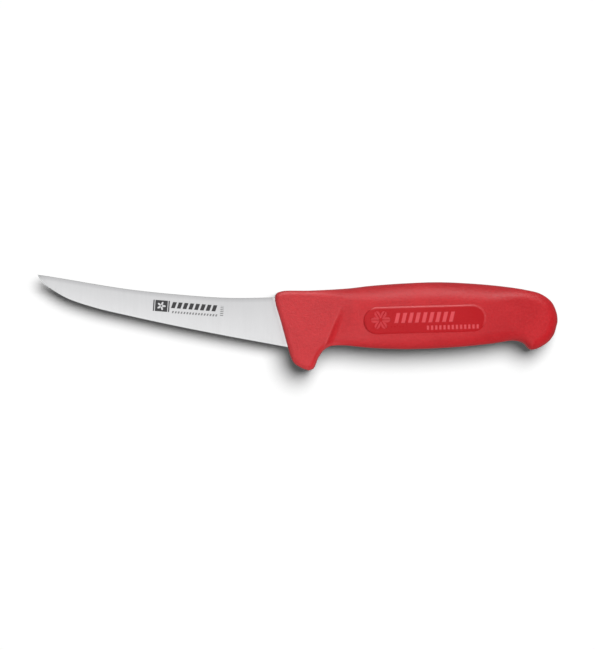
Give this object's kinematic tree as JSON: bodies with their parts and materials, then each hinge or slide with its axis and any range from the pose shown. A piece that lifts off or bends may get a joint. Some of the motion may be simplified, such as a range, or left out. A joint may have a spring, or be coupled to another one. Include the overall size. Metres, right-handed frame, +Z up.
{
  "type": "boning knife",
  "caption": "Boning knife with a narrow upswept steel blade in a moulded red plastic handle with a hooked guard, a finger scoop and a raised side panel.",
  "frame": {"origin": "on the surface the knife lies on, under the middle of its bounding box", "axes": "+X from the tip to the butt along the knife, +Y from the edge to the spine, +Z up through the thickness"},
  "size_m": [0.2598, 0.0478, 0.019],
  "materials": {
    "blade": "fine satin ground stainless steel",
    "handle": "fine-textured red polypropylene"
  },
  "bodies": {
    "root": {"blade": "blade", "handle": "handle"}
  },
  "joints": []
}
